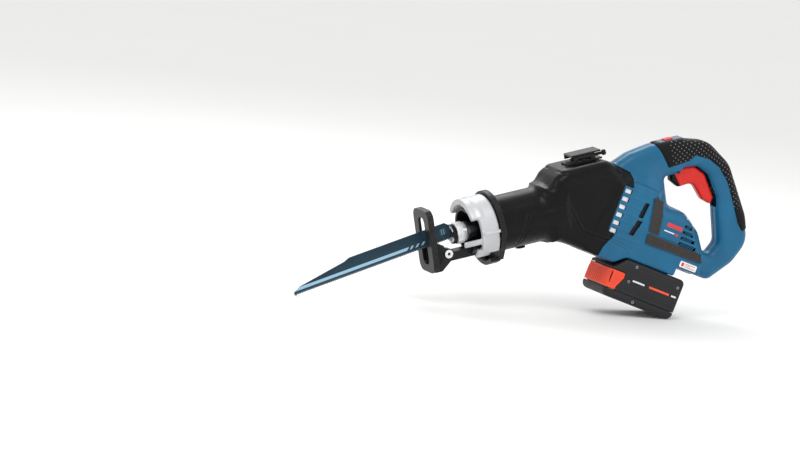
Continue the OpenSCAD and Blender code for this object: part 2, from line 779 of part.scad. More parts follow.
module hook_rod() {
    color(BLACK) at_rest() translate([0, hook_axis.x, hook_axis.y]) union() {
        rod_x(136, 188, 2.2);
        rod_x(186, 190, 4);
    }
}

module hook_arm() {
    color(BLACK) at_rest() difference() {
        union() {
            translate([0, hook_axis.x, hook_axis.y]) rod_x(hook_lugs[0] + 7.2, hook_lugs[1] - 0.2, 3.6);
            translate([hook_lugs[0] + 7.2, hook_axis.x, hook_axis.y]) cube([19.6, 4, 4]);
            translate([136, hook_axis.x - 3.6, hook_axis.y + 3.6]) cube([46, 25, 2.4]);
            translate([136, hook_axis.x + 19, hook_axis.y - 2]) cube([46, 2.4, 6]);
        }
        translate([0, hook_axis.x, hook_axis.y]) rod_x(120, 200, 2.2 + run_gap);
    }
}

// ---- Battery pack ---------------------------------------------------------------------------

pack_m1 = pack_m0 + pack_l;
pack_split = -19;
pack_screws_m = [pack_m0 + 14, pack_m1 - 20];
cell_r = 10.5;
cell_m0 = pack_m0 + 17.2;
cell_half = 35;

module pack_shape(inset) {
    offset(delta = -inset) polygon(rounded([[pack_m0, pack_floor, 9], [pack_m1, pack_floor, pack_edge_r],
        [pack_m1, pack_top, 6], [pack_m0 + 19, pack_top, 4], [pack_m0 + 7, 17, 3], [pack_m0, 12, 4]]));
}

module pack_solid(n0, n1) {
    in_motor() difference() {
        intersection() {
            across(-pack_half, pack_half) pack_shape(0);
            along(100, 400) translate([0, (pack_top + pack_floor) / 2])
                polygon(slab(2 * pack_half, pack_h, 5));
            translate([100, -60, n0]) cube([300, 120, n1 - n0]);
        }
        across(-cell_half - 0.3, cell_half + 0.3) intersection() {
            pack_shape(2.5);
            translate([pack_m0 + 6.4, -80]) square([pack_l, 105]);
        }
    }
}

module pack_tray() {
    color(PACK_GREY) at_rest() difference() {
        pack_solid(-60, pack_split - gap / 2);
        in_motor() for (m = pack_screws_m, y = [-30, 30])
            translate([m, y, pack_floor - 1]) cylinder(r = 2.7, h = 2.6);
    }
}

module pack_cover() {
    color(PACK_GREY) at_rest() difference() {
        union() {
            pack_solid(pack_split + gap / 2, 60);
            in_motor() translate([214, -stem_half, pack_top - 1]) cube([71, 2 * stem_half, 5]);
            in_motor() translate([214, -rail_half, 33]) cube([71, 2 * rail_half, 3.9]);
        }
        in_motor() {
            // front recess of the latch
            difference() {
                translate([pack_m0 - 1, -60, -18]) cube([24.4, 120, 26.2]);
                translate([pack_m0 + 4.4, -cell_half - 1.4, -30]) cube([40, 2 * cell_half + 2.8, 60]);
            }
            for (y = [-12, -4, 4, 12]) translate([218, y - 1, 33.5]) cube([24, 2, 5]);
        }
    }
}

module pack_latch() {
    color(ORANGE) at_rest() in_motor() difference() {
        translate([pack_m0 + 0.1, -pack_half + 0.1, -17.8]) cube([21.3, 2 * pack_half - 0.2, 25.6]);
        translate([pack_m0 + 2.2, -cell_half - 1.6, -30]) cube([40, 2 * cell_half + 3.2, 60]);
        for (y = [-30:6:30]) translate([pack_m0 - 1, y, -14]) cube([1.9, 2, 18]);
    }
}

module latch_spring() {
    color(STEEL) at_rest() in_motor() for (y = [-20, 20], k = [0, 1])
        translate([pack_m0 + 2.8 + k, y, -5]) rotate([0, 90, 0])
            rotate_extrude() translate([3, 0]) circle(r = 0.4);
}

module pack_cells() {
    color("seagreen") at_rest() in_motor() for (i = [0:4], k = [0:1])
        translate([cell_m0 + (2 * cell_r + 0.05) * i, 0, pack_floor + 13.2 + (2 * cell_r + 0.1) * k])
            rod_y(-cell_half, cell_half, cell_r);
}

module pack_contacts() {
    color("goldenrod") at_rest() in_motor() for (y = [-12, -4, 4, 12])
        translate([220, y - 0.5, 33.5]) cube([18, 1, 2.6]);
}

module pack_screws() {
    color(STEEL) at_rest() in_motor() for (m = pack_screws_m, y = [-30, 30])
        translate([m, y, pack_floor + 0.6]) cylinder(r = 2.6, h = 1);
}

// ---- Assembly -------------------------------------------------------------------------------

blade();
chuck_body();
plunger();
yoke();
chuck_sleeve();
chuck_pin();
chuck_ring();
release_lever();
lever_spring();
nose_flange();
nose_sleeve();
work_light();
front_bush();
rear_bush();
gear_case();
nose_boot();
shoe_plate();
shoe_screw();
shoe_post();
shoe_lock();
crank_gear();
crank_shaft();
crank_pin();
counterweight();
crank_bearing();
drive_pinion();
motor_shaft();
rotor_core();
cooling_fan();
stator();
front_bearing();
rear_bearing();
controller();
terminal_block();
housing_left();
housing_right();
grip_left();
grip_right();
side_pad_left();
side_pad_right();
housing_screws();
rating_label();
trigger();
trigger_pin();
trigger_spring();
trigger_switch();
slide_button();
slide_bezel();
hook_base();
hook_rod();
hook_arm();
pack_cover();
pack_tray();
pack_cells();
pack_contacts();
pack_latch();
latch_spring();
pack_screws();
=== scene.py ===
import json
import math

import bmesh
import bpy
import numpy as np
from mathutils import Matrix, Vector


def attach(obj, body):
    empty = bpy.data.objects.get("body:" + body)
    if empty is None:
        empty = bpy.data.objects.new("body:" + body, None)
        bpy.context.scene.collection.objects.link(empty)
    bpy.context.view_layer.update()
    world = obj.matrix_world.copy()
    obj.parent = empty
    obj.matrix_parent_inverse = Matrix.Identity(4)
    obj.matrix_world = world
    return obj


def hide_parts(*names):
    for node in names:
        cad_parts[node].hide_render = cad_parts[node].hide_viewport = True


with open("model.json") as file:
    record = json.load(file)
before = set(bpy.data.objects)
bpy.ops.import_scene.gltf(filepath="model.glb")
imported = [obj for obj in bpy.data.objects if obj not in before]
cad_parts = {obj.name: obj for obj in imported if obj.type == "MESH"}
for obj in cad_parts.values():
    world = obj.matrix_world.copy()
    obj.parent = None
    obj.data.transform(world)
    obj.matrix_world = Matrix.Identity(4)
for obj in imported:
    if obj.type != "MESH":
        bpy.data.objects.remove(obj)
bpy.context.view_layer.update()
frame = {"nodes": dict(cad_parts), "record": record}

MM = 0.001

# ---- The tool frame ------------------------------------------------------------------------
# Shapes are drawn in millimetres in the tool frame: x to the rear along the barrel, z up, y = 0
# the plane of the blade, and the near side, which carries the release lever, at negative y.
# m and n are the same plane turned down by the motor's angle.

joints = {j["name"]: j for j in frame["record"]["behaviour"]["joints"]}
forward = Vector(joints["blade_stroke"]["axis"])
shaft = Vector(joints["rotor_spin"]["axis"])
REAR = -forward
UP = Vector((-REAR.z, 0, REAR.x))
LEVER_X = -20.0           # where the record puts the lever's joint
ORIGIN = Vector(joints["lever_release"]["pos_m"]) - LEVER_X * MM * REAR
TILT = math.atan2(REAR.z, REAR.x)
DROP = TILT - math.atan2(shaft.z, shaft.x)
TOOL = Matrix(((REAR.x, 0, UP.x, ORIGIN.x),
               (0, 1, 0, 0),
               (REAR.z, 0, UP.z, ORIGIN.z),
               (0, 0, 0, 1)))
TOOL = TOOL @ Matrix.Scale(MM, 4)
CD = math.cos(DROP)
SD = math.sin(DROP)
MOTOR = TOOL @ Matrix.Rotation(DROP, 4, "Y")
TILT_TO_MOTOR = DROP - TILT
LEAN = math.radians(6.5)  # the blade's teeth line against the barrel
BLADE_X = -56.0           # where the blade leaves the chuck
FAR = 1e9                 # further than any point of a grid


def mn(m, n):
    """Motor-frame point as a tool-frame (x, z)."""
    return (m * CD + n * SD, n * CD - m * SD)


# ---- Distance fields -----------------------------------------------------------------------

def smooth(t, a, b):
    """0 at a and 1 at b, with an easy start and end."""
    t = np.clip((t - a) / (b - a), 0, 1)
    return t * t * (3 - 2 * t)


def blend_min(a, b, k):
    """Union of two fields with a fillet about k wide."""
    h = np.clip(0.5 + 0.5 * (b - a) / k, 0, 1)
    return b + (a - b) * h - k * h * (1 - h)


def line_dist(x, z, points):
    """Distance to an open polyline."""
    best = np.full(np.broadcast(x, z).shape, FAR)
    for (ax, az), (bx, bz) in zip(points, points[1:]):
        dx = bx - ax
        dz = bz - az
        t = np.clip(((x - ax) * dx + (z - az) * dz) / (dx * dx + dz * dz or 1), 0, 1)
        best = np.minimum(best, np.hypot(x - ax - t * dx, z - az - t * dz))
    return best


def poly_dist(x, z, points):
    """Signed distance to a closed polygon, negative inside."""
    d = line_dist(x, z, points + points[:1])
    inside = np.zeros(d.shape, bool)
    for (ax, az), (bx, bz) in zip(points, points[1:] + points[:1]):
        if az != bz:
            inside ^= ((az > z) != (bz > z)) & (x < (bx - ax) * (z - az) / (bz - az) + ax)
    return np.where(inside, -d, d)


ARC_STEPS = 6


def rounded(corners):
    """Outline whose corners (x, z, radius) are rounded by arcs."""
    out = []
    for i, (bx, bz, r) in enumerate(corners):
        if r == 0:
            out.append((bx, bz))
            continue
        b = Vector((bx, bz))
        u = (Vector(corners[i - 1][:2]) - b).normalized()
        v = (Vector(corners[(i + 1) % len(corners)][:2]) - b).normalized()
        half = math.acos(max(-1, min(1, u.dot(v)))) / 2
        hub = b + (u + v).normalized() * r / math.sin(half)
        start = b + u * r / math.tan(half) - hub
        end = b + v * r / math.tan(half) - hub
        first = math.atan2(start.y, start.x)
        turn = math.atan2(start.x * end.y - start.y * end.x, start.dot(end))
        for k in range(ARC_STEPS + 1):
            a = first + turn * k / ARC_STEPS
            out.append((hub.x + r * math.cos(a), hub.y + r * math.sin(a)))
    return out


def motor_outline(corners):
    """Rounded outline whose corners are given in the motor frame."""
    return rounded([(*mn(m, n), r) for m, n, r in corners])


def extrude(flat, y, half, r):
    """Solid of a flat outline's distance, |y| up to half, edges rounded to r."""
    a = flat + r
    b = np.abs(y) - half + r
    return np.hypot(np.maximum(a, 0), np.maximum(b, 0)) + np.minimum(np.maximum(a, b), 0) - r


def span(v, a, b):
    """How far v is outside the range from a to b, negative inside."""
    return np.abs(v - (a + b) / 2) - (b - a) / 2


def block_dist(q, r):
    """Distance to a block rounded to r, from its three spans with r added."""
    out = np.sqrt(sum(np.maximum(v, 0) ** 2 for v in q))
    return out + np.minimum(np.maximum(np.maximum(q[0], q[1]), q[2]), 0) - r


def box_dist(x, y, z, lo, hi, r=0.0):
    """Distance to the box between two corners, edges rounded to r."""
    return block_dist([span(v, a, b) + r for v, a, b in zip((x, y, z), lo, hi)], r)


def grid(lo, hi, h):
    """Axes of a grid with cells of h, which reaches two cells past the range."""
    axes = [np.arange(a - 2 * h, b + 2.5 * h, h, dtype=np.float64) for a, b in zip(lo, hi)]
    return np.meshgrid(*axes, indexing="ij", sparse=True)


CORNERS = [(c & 1, c >> 1 & 1, c >> 2) for c in range(8)]       # of one cell of a grid
EDGES = [(a, b) for a in range(8) for b in range(a + 1, 8) if bin(a ^ b).count("1") == 1]
RELAX = 0.35              # how far a vertex moves to its neighbours' mean


def new_object(name, data):
    obj = bpy.data.objects.new(name, data)
    bpy.context.scene.collection.objects.link(obj)
    return obj


def surface(name, field, axes, place):
    """Mesh of a field's zero surface, one vertex in each cell that it crosses."""
    field = field.astype(np.float32)
    n = np.array(field.shape) - 1
    lo = np.array([a.ravel()[0] for a in axes])
    step = np.array([a.ravel()[1] - a.ravel()[0] for a in axes])
    inside = field < 0
    count = sum(inside[i:n[0] + i, j:n[1] + j, k:n[2] + k].astype(np.int8) for i, j, k in CORNERS)
    cells = np.argwhere((count > 0) & (count < 8))
    index = np.full(n, -1, np.int64)
    index[tuple(cells.T)] = np.arange(len(cells))
    values = np.stack([field[cells[:, 0] + i, cells[:, 1] + j, cells[:, 2] + k]
                       for i, j, k in CORNERS], 1)
    total = np.zeros((len(cells), 3))
    hits = np.zeros(len(cells))
    for a, b in EDGES:
        va = values[:, a]
        vb = values[:, b]
        cut = (va < 0) != (vb < 0)
        t = np.where(cut, va / np.where(cut, va - vb, 1), 0)[:, None]
        pa = np.array(CORNERS[a])
        pb = np.array(CORNERS[b])
        total += np.where(cut[:, None], pa + (pb - pa) * t, 0)
        hits += cut
    verts = lo + (cells + total / hits[:, None]) * step
    quads = []
    for axis in range(3):
        u = (axis + 1) % 3
        v = (axis + 2) % 3
        keep = [slice(1, -1)] * 3
        keep[axis] = slice(0, -1)
        shift = list(keep)
        shift[axis] = slice(1, None)
        first = inside[tuple(keep)]
        second = inside[tuple(shift)]
        for flip, mask in ((False, first & ~second), (True, ~first & second)):
            at = np.argwhere(mask) + 1
            at[:, axis] -= 1
            ring = []
            for du, dv in ((0, 0), (1, 0), (1, 1), (0, 1)):
                p = at.copy()
                p[:, u] -= du
                p[:, v] -= dv
                ring.append(index[tuple(p.T)])
            quads.append(np.stack(ring[::-1] if flip else ring, 1))
    quads = np.concatenate(quads)
    verts = relax(verts, quads)
    mesh = bpy.data.meshes.new(name)
    mesh.vertices.add(len(verts))
    mesh.vertices.foreach_set("co", verts.ravel())
    mesh.loops.add(quads.size)
    mesh.loops.foreach_set("vertex_index", quads.ravel())
    mesh.polygons.add(len(quads))
    mesh.polygons.foreach_set("loop_start", np.arange(0, quads.size, 4))
    mesh.update(calc_edges=True)
    mesh.transform(place)
    mesh.shade_smooth()
    return new_object(name, mesh)


def relax(verts, quads):
    """One light smoothing step: each vertex moves part of the way to its neighbours' mean."""
    total = np.zeros_like(verts)
    hits = np.zeros(len(verts))
    for a, b in ((0, 1), (1, 2), (2, 3), (3, 0)):
        for p, q in ((a, b), (b, a)):
            for c in range(3):
                total[:, c] += np.bincount(quads[:, p], verts[quads[:, q], c], len(verts))
            hits += np.bincount(quads[:, p], minlength=len(verts))
    return verts + RELAX * (total / hits[:, None] - verts)


# ---- Materials -----------------------------------------------------------------------------

MIX_FACTOR, MIX_A, MIX_B, MIX_OUT = 0, 6, 7, 2      # a Mix node's sockets when it mixes colours
SHARP_EDGE = (0.52, 0.60)                           # pointiness where wear starts and is full
PLASTIC_GRAIN, METAL_LINES, RUBBER_GRAIN = 0.00012, 0.00008, 0.0001      # depth in metres
FOLD_LIFT = 100                                     # keeps the grid of dots on positive numbers


def rgba(value):
    """A plain colour with its alpha; a socket or a full colour as it is."""
    return (*value, 1) if isinstance(value, tuple) and len(value) == 3 else value


def lighter(base, gain, lift=0.0):
    return tuple(min(1, c * gain + lift) for c in base)


class Nodes:
    """A material's node tree, with short calls that add a node and return its output."""

    def __init__(self, name, base, rough, metal=0.0, coat=0.0, specular=0.5):
        self.mat = bpy.data.materials.new(name)
        self.mat.use_nodes = True
        self.tree = self.mat.node_tree
        self.bsdf = self.tree.nodes["Principled BSDF"]
        self.put("Base Color", (*base, 1))
        self.put("Roughness", rough)
        self.put("Metallic", metal)
        self.put("Coat Weight", coat)
        self.put("Specular IOR Level", specular)
        self.coords = self.add("ShaderNodeTexCoord").outputs["Object"]

    def add(self, kind, **props):
        node = self.tree.nodes.new(kind)
        for key, value in props.items():
            setattr(node, key, value)
        return node

    def link(self, source, target):
        if isinstance(source, (int, float, tuple)):
            target.default_value = source
        else:
            self.tree.links.new(source, target)

    def put(self, socket, source):
        self.link(source, self.bsdf.inputs[socket])

    def math(self, op, a, b=0.0):
        node = self.add("ShaderNodeMath", operation=op)
        for source, target in zip((a, b), node.inputs):
            self.link(source, target)
        return node.outputs[0]

    def mix(self, factor, a, b):
        node = self.add("ShaderNodeMix", data_type="RGBA")
        self.link(factor, node.inputs[MIX_FACTOR])
        self.link(rgba(a), node.inputs[MIX_A])
        self.link(rgba(b), node.inputs[MIX_B])
        return node.outputs[MIX_OUT]

    def noise(self, scale, detail, stretch=None):
        node = self.add("ShaderNodeTexNoise")
        node.inputs["Scale"].default_value = scale
        node.inputs["Detail"].default_value = detail
        vector = self.coords
        if stretch:
            mapping = self.add("ShaderNodeMapping")
            mapping.inputs["Scale"].default_value = stretch
            self.tree.links.new(vector, mapping.inputs[0])
            vector = mapping.outputs[0]
        self.tree.links.new(vector, node.inputs["Vector"])
        return node.outputs["Fac"]

    def step(self, value, a, b, lo=0.0, hi=1.0):
        """lo where value is a and hi where it is b, with an easy start and end."""
        node = self.add("ShaderNodeMapRange", interpolation_type="SMOOTHSTEP")
        for source, target in zip((value, a, b, lo, hi), node.inputs):
            self.link(source, target)
        return node.outputs[0]

    def tool_axes(self, angle):
        """x, y, z of a frame turned by angle from the row frame.

        They are in millimetres and start at the tool's origin.
        """
        mapping = self.add("ShaderNodeMapping", vector_type="TEXTURE")
        mapping.inputs["Location"].default_value = ORIGIN
        mapping.inputs["Rotation"].default_value = (0, angle, 0)
        mapping.inputs["Scale"].default_value = (MM, MM, MM)
        self.tree.links.new(self.coords, mapping.inputs[0])
        split = self.add("ShaderNodeSeparateXYZ")
        self.tree.links.new(mapping.outputs[0], split.inputs[0])
        return split.outputs

    def bump(self, height, strength, distance):
        """Adds a bump on top of those that the surface has."""
        node = self.add("ShaderNodeBump")
        node.inputs["Strength"].default_value = strength
        node.inputs["Distance"].default_value = distance
        self.tree.links.new(height, node.inputs["Height"])
        old = self.bsdf.inputs["Normal"].links
        if old:
            self.tree.links.new(old[0].from_socket, node.inputs["Normal"])
        self.put("Normal", node.outputs[0])

    def worn(self, base, light, amount):
        """Base colour with slow variation, and lighter along sharp edges."""
        cloud = self.step(self.noise(22, 4), 0.3, 0.7)
        tone = self.mix(cloud, lighter(base, 0.9), lighter(base, 1.1))
        geometry = self.add("ShaderNodeNewGeometry")
        edge = self.step(geometry.outputs["Pointiness"], *SHARP_EDGE, 0.0, amount)
        speck = self.step(self.noise(900, 2), 0.4, 0.6)
        self.put("Base Color", self.mix(self.math("MULTIPLY", edge, speck), tone, light))


def plastic(name, base, rough, grain=0.25, coat=0.0, light=None, wear=0.35, specular=0.5):
    """Moulded plastic with a spark-eroded grain and slightly lighter edges."""
    k = Nodes(name, base, rough, coat=coat, specular=specular)
    k.worn(base, light or lighter(base, 1.8, 0.03), wear)
    k.put("Roughness", k.step(k.noise(70, 5), 0.3, 0.7, rough - 0.06, rough + 0.08))
    k.bump(k.noise(2600, 2), grain, PLASTIC_GRAIN)
    return k


def metal(name, base, rough, stretch=(1, 1, 1), metallic=1.0, grain=0.2, specular=0.5):
    """Ground or plated metal with fine lines along one direction and bright edges."""
    k = Nodes(name, base, rough, metal=metallic, specular=specular)
    k.worn(base, lighter(base, 1.4, 0.05), 0.4)
    fine = k.noise(1800, 3, stretch)
    k.put("Roughness", k.step(fine, 0.25, 0.75, rough - 0.08, rough + 0.14))
    k.bump(fine, grain, METAL_LINES)
    return k


def dots(k, u, v, pitch, radius):
    """1 in the dots of a staggered grid over u and v, in millimetres."""
    def fold(value, offset):
        shifted = k.math("ADD", k.math("DIVIDE", value, pitch), offset)
        return k.math("MULTIPLY", k.math("SUBTRACT", k.math("FRACT", shifted), 0.5), pitch)
    out = None
    for offset in (0.0, 0.5):
        a = fold(u, FOLD_LIFT + offset)
        b = fold(v, FOLD_LIFT + offset)
        far = k.math("SQRT", k.math("ADD", k.math("MULTIPLY", a, a), k.math("MULTIPLY", b, b)))
        one = k.step(far, radius * 0.7, radius * 1.1, 1.0, 0.0)
        out = one if out is None else k.math("MAXIMUM", out, one)
    return out


def rubber(name, base, rough, sheen=0.1):
    """Matt rubber with a soft sheen."""
    k = Nodes(name, base, rough, specular=0.14)
    k.worn(base, lighter(base, 2.0, 0.02), 0.25)
    k.put("Roughness", k.step(k.noise(45, 5), 0.3, 0.7, rough - 0.05, rough + 0.1))
    k.put("Sheen Weight", sheen)
    k.bump(k.noise(2200, 2), 0.3, RUBBER_GRAIN)
    return k


def boot_rubber():
    """Silky black boot whose lower zones carry a grid of small raised dots."""
    k = rubber("boot_rubber", (0.003, 0.003, 0.0035), 0.25, sheen=0.0)
    k.put("Specular IOR Level", 0.17)
    m, _, n = k.tool_axes(TILT_TO_MOTOR)
    x, _, z = k.tool_axes(-TILT)
    low = k.step(n, 56.0, 48.0)
    rear = k.step(m, 110.0, 116.0)
    front = k.math("MULTIPLY", k.step(z, -10.0, -18.0), k.step(x, 40.0, 52.0))
    zone = k.math("MAXIMUM", k.math("MULTIPLY", low, rear), front)
    pattern = k.math("MULTIPLY", dots(k, m, n, 5.2, 0.9), zone)
    k.bump(pattern, 0.9, 0.0005)
    return k.mat


def grip_rubber():
    """Black grip rubber with small pale dots where the hand holds it."""
    k = rubber("grip_rubber", (0.006, 0.006, 0.007), 0.5, sheen=0.02)
    x, y, z = k.tool_axes(-TILT)
    side = dots(k, x, z, 7.5, 0.85)
    zone = k.math("MULTIPLY", k.step(x, 286.0, 290.0), k.step(z, -60.0, -50.0))
    top = k.step(z, 16.0, 18.0)
    crown = k.math("MAXIMUM", k.math("MULTIPLY", dots(k, x, y, 7.5, 0.85), top),
                   k.math("MULTIPLY", dots(k, z, y, 7.5, 0.85), k.math("SUBTRACT", 1.0, top)))
    outer = k.step(k.math("ABSOLUTE", y), 10.0, 11.0)
    both = k.math("ADD", k.math("MULTIPLY", side, outer),
                  k.math("MULTIPLY", crown, k.math("SUBTRACT", 1.0, outer)))
    pattern = k.math("MULTIPLY", both, zone)
    color = k.bsdf.inputs["Base Color"].links[0].from_socket
    k.put("Base Color", k.mix(k.math("MULTIPLY", pattern, 0.8), color, (0.30, 0.30, 0.29)))
    k.bump(pattern, 0.8, 0.0006)
    return k.mat


def blade_steel():
    """Dark coated blade with a pale ground band along the teeth.

    b runs along the teeth and w across the blade. The band breaks into slanted dashes towards
    the chuck, and a square of short strips stands at the blade's root.
    """
    k = metal("blade_steel", (0.006, 0.030, 0.050), 0.4, (1, 1, 30), metallic=0.15, specular=0.3)
    b, _, w = k.tool_axes(-TILT - LEAN)
    w = k.math("ADD", w, BLADE_X * math.sin(LEAN))
    band = k.math("MULTIPLY", k.step(w, 3.6, 4.0, 1.0, 0.0), k.step(w, -0.6, -0.2))
    slant = k.math("SUBTRACT", b, w)
    dash = k.math("GREATER_THAN", k.math("FRACT", k.math("DIVIDE", slant, 9.0)), 0.6)
    dash = k.math("MULTIPLY", dash, k.step(slant, -98.0, -99.0))
    band = k.math("MULTIPLY", band, k.math("MAXIMUM", k.step(slant, -124.0, -125.0), dash))
    base = k.bsdf.inputs["Base Color"].links[0].from_socket
    tone = k.mix(k.math("MULTIPLY", band, 0.9), base, (0.34, 0.55, 0.72))
    ground = k.step(w, -3.6, -3.2, 1.0, 0.0)
    tone = k.mix(k.math("MULTIPLY", ground, 0.5), tone, (0.12, 0.16, 0.19))
    marks = k.math("MULTIPLY", k.step(b, -72.0, -71.0), k.step(b, -62.0, -63.0))
    strip = k.math("GREATER_THAN", k.math("FRACT", k.math("DIVIDE", b, 3.4)), 0.55)
    square = k.math("MULTIPLY", k.step(w, 3.0, 3.6), k.step(w, 12.0, 11.4))
    marks = k.math("MULTIPLY", k.math("MULTIPLY", marks, square), strip)
    k.put("Base Color", k.mix(k.math("MULTIPLY", marks, 0.6), tone, (0.25, 0.50, 0.60)))
    return k.mat


BLUE = (0.006, 0.118, 0.240)


def make_materials():
    """The record's material slots by name, and three looks that the record doesn't have."""
    return {
        "blade_steel": blade_steel(),
        "black_rubber": grip_rubber(),
        "boot_rubber": boot_rubber(),
        "tool_steel": metal("tool_steel", (0.30, 0.31, 0.33), 0.3, (1, 20, 20)).mat,
        "chuck_white": metal("chuck_white", (0.82, 0.83, 0.85), 0.3, (1, 8, 8),
                             metallic=0.35).mat,
        "lever_silver": metal("lever_silver", (0.52, 0.53, 0.545), 0.38, metallic=0.45,
                              grain=0.3).mat,
        "spring_steel": metal("spring_steel", (0.5, 0.5, 0.52), 0.28, (20, 1, 1)).mat,
        "black_plastic": plastic("black_plastic", (0.005, 0.005, 0.006), 0.36,
                                 specular=0.2).mat,
        "grey_rubber": rubber("grey_rubber", (0.034, 0.030, 0.028), 0.6).mat,
        "black_metal": metal("black_metal", (0.006, 0.006, 0.007), 0.3, metallic=0.1,
                             specular=0.2).mat,
        "bright_steel": metal("bright_steel", (0.72, 0.73, 0.75), 0.2).mat,
        "bronze": metal("bronze", (0.55, 0.36, 0.20), 0.4).mat,
        "cast_aluminium": metal("cast_aluminium", (0.86, 0.87, 0.88), 0.5, metallic=0.3,
                                grain=0.5).mat,
        "bearing_steel": metal("bearing_steel", (0.6, 0.61, 0.63), 0.2).mat,
        "motor_iron": metal("motor_iron", (0.28, 0.2, 0.15), 0.45, (40, 1, 1),
                            metallic=0.5).mat,
        "circuit": plastic("circuit", (0.03, 0.14, 0.07), 0.35).mat,
        "lens": plastic("lens", (0.75, 0.77, 0.70), 0.12, coat=0.6, grain=0.03).mat,
        "blue_plastic": plastic("blue_plastic", BLUE, 0.34, coat=0.05,
                                light=(0.08, 0.26, 0.44), wear=0.2, specular=0.28).mat,
        "label": plastic("label", (0.85, 0.85, 0.85), 0.35, grain=0.08).mat,
        "red_plastic": plastic("red_plastic", (0.66, 0.016, 0.009), 0.28, coat=0.1,
                               light=(0.85, 0.15, 0.1), specular=0.3).mat,
        "bezel_plastic": plastic("bezel_plastic", (0.03, 0.06, 0.10), 0.4).mat,
        "pack_plastic": plastic("pack_plastic", (0.018, 0.018, 0.020), 0.42, grain=0.4,
                                specular=0.25).mat,
        "orange_plastic": plastic("orange_plastic", (0.88, 0.06, 0.015), 0.38,
                                  light=(1.0, 0.3, 0.15)).mat,
        "cell_can": plastic("cell_can", (0.05, 0.30, 0.22), 0.3, coat=0.4).mat,
        "contact": metal("contact", (0.7, 0.5, 0.22), 0.25).mat,
        "print_red": plastic("print_red", (0.62, 0.03, 0.04), 0.4, grain=0.05).mat,
        "print_white": plastic("print_white", (0.75, 0.78, 0.80), 0.4, grain=0.05).mat,
    }


materials = make_materials()


def finish_piece(obj, body, slot, material=None, replaces=()):
    """Gives a piece its material and says what it rides on and stands for."""
    obj.data.materials.clear()
    obj.data.materials.append(materials[material or slot])
    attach(obj, body)
    if replaces:
        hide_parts(*replaces)
    return obj


# ---- Body, boot and handle -----------------------------------------------------------------

FINE = 1.2      # grid cell of the large pieces
FINER = 0.85                           # cells of the grips and the pack, against FINE
SMALL = 0.8     # grid cell of the lever and the latch
BODY_HALF = 37.0
LOOP_HALF = 18.0
BARREL_R = 39.0
WALL = 2.5
RUBBER = 1.5                           # how far the grip stands proud of the handle
SEAM = 0.15                            # half the gap where two pieces meet
HALF_GAP = 0.12                        # half the gap between a left and a right half

BODY = motor_outline([
    (140, 17, 2), (189, 17, 9), (206, 30, 9), (287, 30, 3), (287, 43.5, 3), (325, 43.5, 3),
    (321, 61, 6), (312, 75, 8), (291, 108, 18), (268, 120, 16), (238, 117, 10), (225, 124, 5),
    (222, 137, 6), (176, 137, 2), (140, 137, 2)])
LOOP = rounded([
    (216, 8, 2), (*mn(140, 108), 2), (*mn(138, 145), 2), (204, 47, 8), (228, 56, 30),
    (262, 61, 60),
    (300, 61, 60), (350, 47, 34), (378, 8, 40), (393, -70, 50), (392, -110, 34), (364, -134, 40),
    (322, -151, 12), (*mn(283, 43.5), 1), (*mn(283, 60), 1)])
OPENING = rounded([
    (274.5, 11.5, 5), (301, 11, 3), (308, 17.5, 3), (327, 15.5, 8), (342, 1, 12), (351, -36, 6),
    (349, -50, 6), (345.5, -100, 14), (322, -119, 8), (317.5, -78, 26), (300, -47, 10),
    (274.5, -29, 8)])
BLOCK = rounded([
    (90, 39, 14), (101, 52, 14), (116, 60, 12), (186, 60, 26), (*mn(138, 145), 2),
    (*mn(176, 125), 2), (*mn(176, 16.5), 2), (*mn(129, 16.5), 8), (94, -39, 12), (84, -39, 1),
    (84, 39, 1)])
FRONT = [(-80, 130), (189, 75), mn(137, 146), mn(169, 143.5), mn(174, 136), mn(175, 125),
         mn(161, 125), mn(161, 57), mn(174, 54), mn(163, 32), mn(161, 12), (110, -130),
         (-80, -130)]
WELL = rounded([
    (284, 6, 1), (284, 22, 4), (300, 28, 4), (330, 27, 8), (354, 2, 8), (361, -30, 4),
    (357, -49, 4), (338, -49, 2), (326, -8, 8), (300, 4, 2)])
GRIP_ZONE = [(264, 90), (269, 58), (274, 46), (281, 25), (315, 28), (325, 34), (346, 23), (359, 9),
             (369, -15), (373, -42), (377, -78), (382, -91), (420, -91), (420, 90)]
PANEL = [mn(177, 122), mn(210, 122), mn(221, 72), mn(216, 57), mn(177, 56)]
VENT_PITCH = 11.8
VENT_N = [59 + VENT_PITCH * i for i in range(6)]
WINDOW_M = 169.4
WINDOW_HALF = (5.4, 3.4)
SLOTS = [[mn(199, 90), mn(206.5, 90), mn(208.5, 112), mn(202, 112)],
         [mn(194.5, 62), mn(202, 62), mn(208, 85), mn(200, 85)]]
REAR_SLOTS = [(274, 288 + 5 * k, 99 - 8.4 * k) for k in range(4)]
NOSE_LINES = [
    [(27, -34), (49, 12), (117, 10), (131, -27), (174, -51)],
    [(33, -34), (53, 7), (113, 5.5), (126, -30.5), (168, -54)],
    [(110, 57), (135, 39), (189, 36)]]
CHIN_LINES = [[mn(170, 47), mn(203, 44), mn(205, 32)],
              [mn(172, 43), mn(199, 40.5), mn(201, 33)]]
PADS = [motor_outline([(212, 123, 1), (226, 123, 1), (233, 103, 2), (238, 76, 1), (223, 76, 1)]),
        motor_outline([(222, 73, 1), (313, 73, 1), (319, 61, 1), (225, 59, 1)])]
REAR_SLOT_HALF = 2.2
WELL_HALF = 9.1
BEZEL_HOLE = ((275.9, -9.3, 58.6), (312.1, 9.3, 80))
BEZEL_ROOM = ((275.5, -9.7, 50), (312.5, 9.7, 80))
GRIP_SINK = 1.2                        # how deep the handle is cut back under the grip
RAIL_M = (210, 292)
RAIL_SLOT = (35, 2.2, 24.6)            # middle and half height along n, and half width
STEM_SLOT = (30, 4, 20.4)
NECK_LINES = [[mn(176, 127), mn(215, 127), mn(222, 121)], [mn(176, 134.5), mn(224, 134.5)]]


